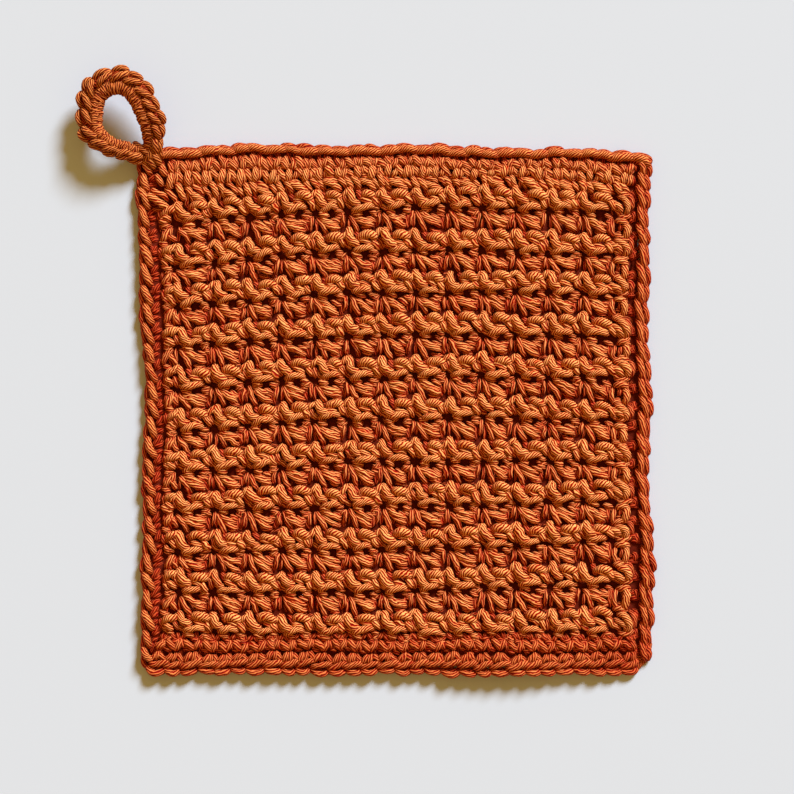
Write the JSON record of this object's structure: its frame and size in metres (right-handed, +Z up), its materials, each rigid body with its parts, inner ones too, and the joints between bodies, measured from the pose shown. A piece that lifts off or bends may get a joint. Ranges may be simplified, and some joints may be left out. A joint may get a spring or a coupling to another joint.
{
  "type": "crocheted pot holder",
  "caption": "Square crocheted pot holder in star stitch, lying flat, with a single-crochet border and a hanging loop raised at one corner.",
  "frame": {"origin": "middle of the pot holder's outer rectangle, on its flat resting face", "axes": "+Z up out of the worked face, +Y towards the edge that carries the hanging loop, +X to the right seen from above"},
  "size_m": [0.2271, 0.2387, 0.0176],
  "materials": {
    "panel_yarn": "rust-orange plied cotton yarn, soft sheen, worked in star stitch",
    "border_yarn": "rust-orange plied cotton yarn, soft sheen, single crochet",
    "loop_yarn": "rust-orange plied cotton yarn, soft sheen, crocheted over a ring of chain"
  },
  "bodies": {
    "root": {"panel": "panel_yarn", "border": "border_yarn", "hanging_loop": "loop_yarn"}
  },
  "joints": []
}
